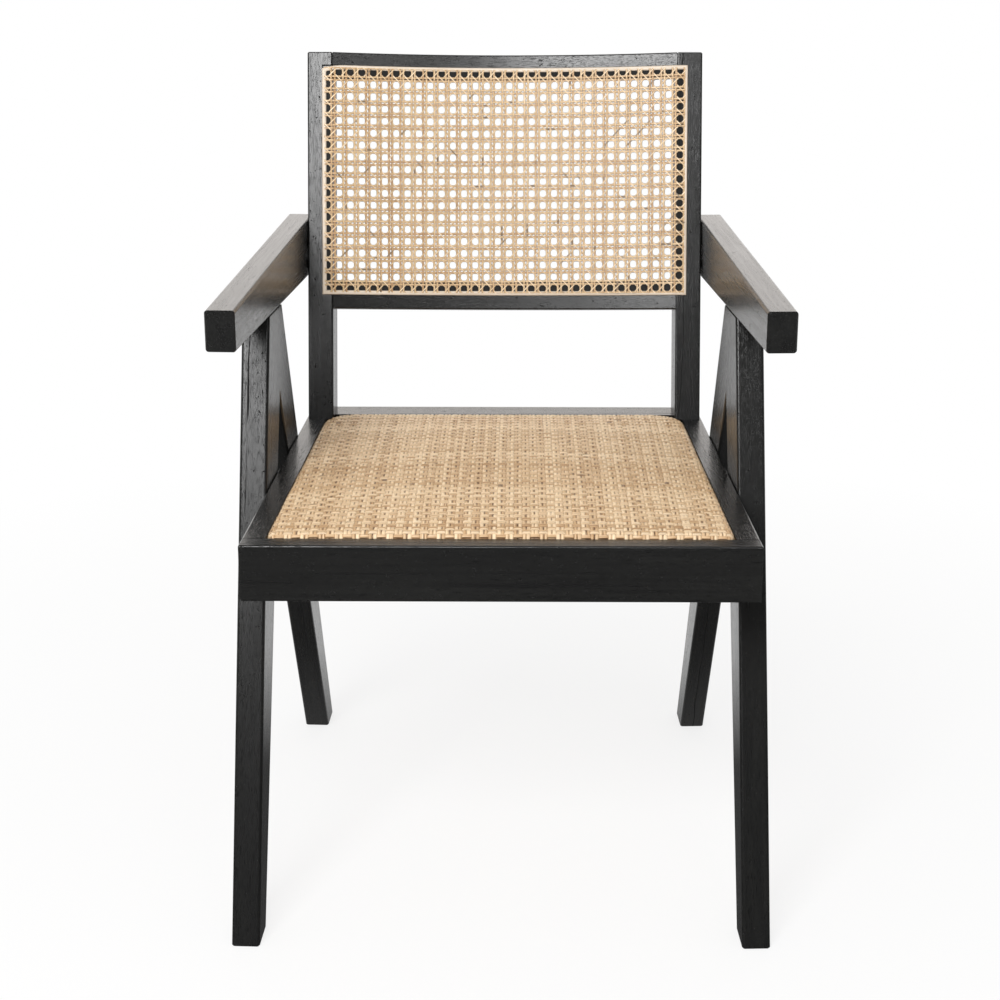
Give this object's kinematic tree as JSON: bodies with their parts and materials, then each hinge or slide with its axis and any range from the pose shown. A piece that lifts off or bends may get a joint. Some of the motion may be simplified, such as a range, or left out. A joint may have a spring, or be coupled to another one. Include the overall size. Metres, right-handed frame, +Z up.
{
  "type": "dining armchair",
  "caption": "Dark wooden dining armchair with splayed inverted-V side frames, wedge armrests, a curved open cane back and a woven drop-in seat.",
  "frame": {"origin": "on the floor, under the middle of the chair's bounding box", "axes": "+Z up, +Y from the front of the chair to its back, +X to the right seen from the front"},
  "size_m": [0.5352, 0.5964, 0.819],
  "materials": {
    "dark_wood": "satin",
    "plain_wood": "matte",
    "plywood": "matte",
    "cane": "satin",
    "reed": "satin",
    "seat_rattan": "matte",
    "foam": "matte",
    "steel": "satin"
  },
  "bodies": {
    "root": {"front_leg_left": "dark_wood", "front_leg_right": "dark_wood", "rear_leg_left": "dark_wood", "rear_leg_right": "dark_wood", "armrest_left": "dark_wood", "armrest_right": "dark_wood", "seat_rail_front": "dark_wood", "seat_rail_rear": "dark_wood", "seat_rail_left": "dark_wood", "seat_rail_right": "dark_wood", "back_post_left": "dark_wood", "back_post_right": "dark_wood", "back_rail_top": "dark_wood", "back_rail_bottom": "dark_wood", "cane_panel": "cane", "cane_spline_top": "reed", "cane_spline_bottom": "reed", "cane_spline_left": "reed", "cane_spline_right": "reed", "seat_board": "plywood", "seat_pad": "foam", "seat_weave": "seat_rattan", "corner_block_front_left": "plain_wood", "corner_block_front_right": "plain_wood", "corner_block_rear_left": "plain_wood", "corner_block_rear_right": "plain_wood", "leg_seam_tenons": "plain_wood", "arm_post_dowels": "plain_wood", "leg_bolts": "steel"}
  },
  "joints": []
}
